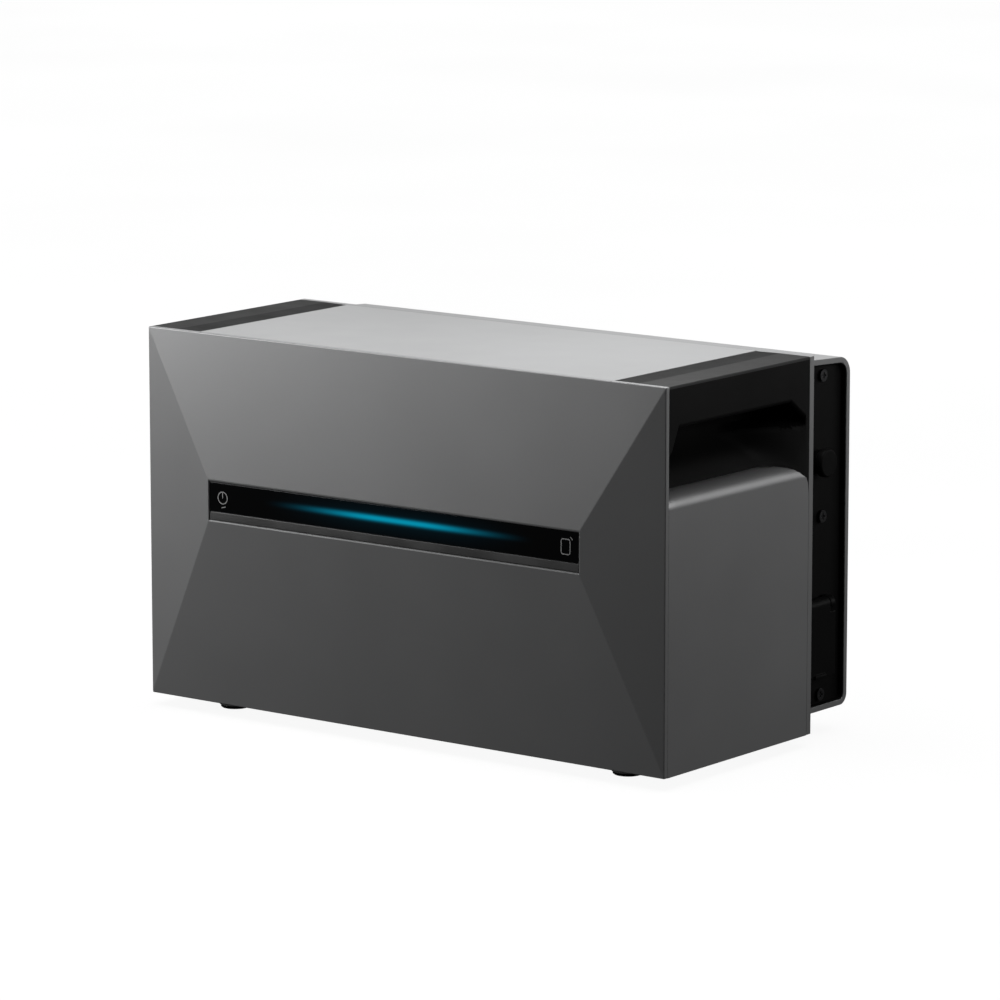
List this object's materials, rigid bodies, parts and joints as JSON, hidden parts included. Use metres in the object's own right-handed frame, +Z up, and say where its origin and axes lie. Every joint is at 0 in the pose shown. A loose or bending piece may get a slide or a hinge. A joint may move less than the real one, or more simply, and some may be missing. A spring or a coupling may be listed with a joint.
{
  "type": "solar storage battery unit",
  "caption": "Free-standing solar storage battery with a faceted metal front, light bar, side grips and a rear housing with sealed ports.",
  "frame": {"origin": "on the floor, under the middle of the unit's box", "axes": "+X to the right seen from the front, +Y to the rear, +Z up"},
  "size_m": [0.46, 0.254, 0.279],
  "materials": {
    "panel_paint": "satin powder coat, mid grey",
    "top_paint": "satin powder coat, mid grey",
    "display_glass": "black high-gloss glass with touch keys printed behind",
    "trim_plastic": "satin dark grey",
    "grip_plastic": "fine moulded texture, black",
    "inner_plastic": "plain moulded black",
    "port_plastic": "fine moulded texture, black",
    "rubber": "matt black",
    "light_guide": "translucent, lit from behind",
    "circuit_board": "green solder mask",
    "screw_steel": "black oxide",
    "heatsink_aluminium": "bead-blasted, clear anodised",
    "pack_steel": "zinc plated",
    "cell_can": "blue insulating film over the can",
    "insulator": "flame-retardant sheet",
    "busbar_copper": "bare copper",
    "lead_insulation": "silicone insulation"
  },
  "bodies": {
    "unit": {"front_panel": "panel_paint", "display_lens": "display_glass", "display_trim": "trim_plastic", "display_carrier": "inner_plastic", "display_gasket": "rubber", "light_guide": "light_guide", "display_board": "circuit_board", "top_plate": "top_paint", "handle_left": "grip_plastic", "handle_right": "grip_plastic", "side_panel_left": "panel_paint", "side_panel_right": "panel_paint", "rear_frame": "panel_paint", "base_plate": "panel_paint", "foot_front_left": "rubber", "foot_front_right": "rubber", "foot_rear_left": "rubber", "foot_rear_right": "rubber", "foot_screws": "screw_steel", "rear_housing": "panel_paint", "housing_gasket": "rubber", "housing_screws": "screw_steel", "heat_sink": "heatsink_aluminium", "port_panel_left": "port_plastic", "port_panel_right": "port_plastic", "port_screws": "screw_steel", "earth_screw": "screw_steel", "grid_connector": "port_plastic", "expansion_connector": "port_plastic", "outlet_socket": "port_plastic", "outlet_pin": "screw_steel", "outlet_spring": "screw_steel", "pv_inputs": "port_plastic", "vent_valve": "port_plastic", "battery_tray": "pack_steel", "cell_module_1": "cell_can", "cell_module_2": "cell_can", "cell_module_3": "cell_can", "cell_module_4": "cell_can", "cell_pads": "insulator", "end_plates": "heatsink_aluminium", "pack_straps": "pack_steel", "busbars": "busbar_copper", "cell_cover": "insulator", "bms_board": "circuit_board", "main_fuse": "inner_plastic", "power_shelf": "pack_steel", "dc_board": "circuit_board", "power_leads": "lead_insulation", "inverter_board": "circuit_board", "heat_spreader": "heatsink_aluminium"},
    "grid_seal": {"grid_cap_seal": "rubber"},
    "grid_cap": {"grid_cap": "port_plastic"},
    "expansion_seal": {"expansion_cap_seal": "rubber"},
    "expansion_cap": {"expansion_cap": "port_plastic"},
    "outlet_lid": {"outlet_lid": "port_plastic"},
    "pv_cap_1": {"pv_cap_1": "rubber"},
    "pv_cap_2": {"pv_cap_2": "rubber"},
    "pv_cap_3": {"pv_cap_3": "rubber"},
    "pv_cap_4": {"pv_cap_4": "rubber"}
  },
  "joints": [
    {"name": "grid_cap_pull", "type": "slide", "parent": "unit", "child": "grid_seal", "axis": [1, 0, 0], "range_m": [0, 0.03]},
    {"name": "grid_cap_turn", "type": "hinge", "parent": "grid_seal", "child": "grid_cap", "pos_m": [0.212, 0.093, 0.1975], "axis": [1, 0, 0], "range_deg": [0, 90]},
    {"name": "expansion_cap_pull", "type": "slide", "parent": "unit", "child": "expansion_seal", "axis": [-1, 0, 0], "range_m": [0, 0.03]},
    {"name": "expansion_cap_turn", "type": "hinge", "parent": "expansion_seal", "child": "expansion_cap", "pos_m": [-0.212, 0.093, 0.235], "axis": [-1, 0, 0], "range_deg": [0, 90]},
    {"name": "outlet_lid_hinge", "type": "hinge", "parent": "unit", "child": "outlet_lid", "pos_m": [0.2173, 0.08275, 0.096], "axis": [0, -1, 0], "range_deg": [0, 110], "stiffness_Nm_per_rad": 0.02, "springref_deg": -28.65},
    {"name": "pv_cap_1_pull", "type": "slide", "parent": "unit", "child": "pv_cap_1", "axis": [-1, 0, 0], "range_m": [0, 0.025]},
    {"name": "pv_cap_2_pull", "type": "slide", "parent": "unit", "child": "pv_cap_2", "axis": [-1, 0, 0], "range_m": [0, 0.025]},
    {"name": "pv_cap_3_pull", "type": "slide", "parent": "unit", "child": "pv_cap_3", "axis": [-1, 0, 0], "range_m": [0, 0.025]},
    {"name": "pv_cap_4_pull", "type": "slide", "parent": "unit", "child": "pv_cap_4", "axis": [-1, 0, 0], "range_m": [0, 0.025]}
  ]
}
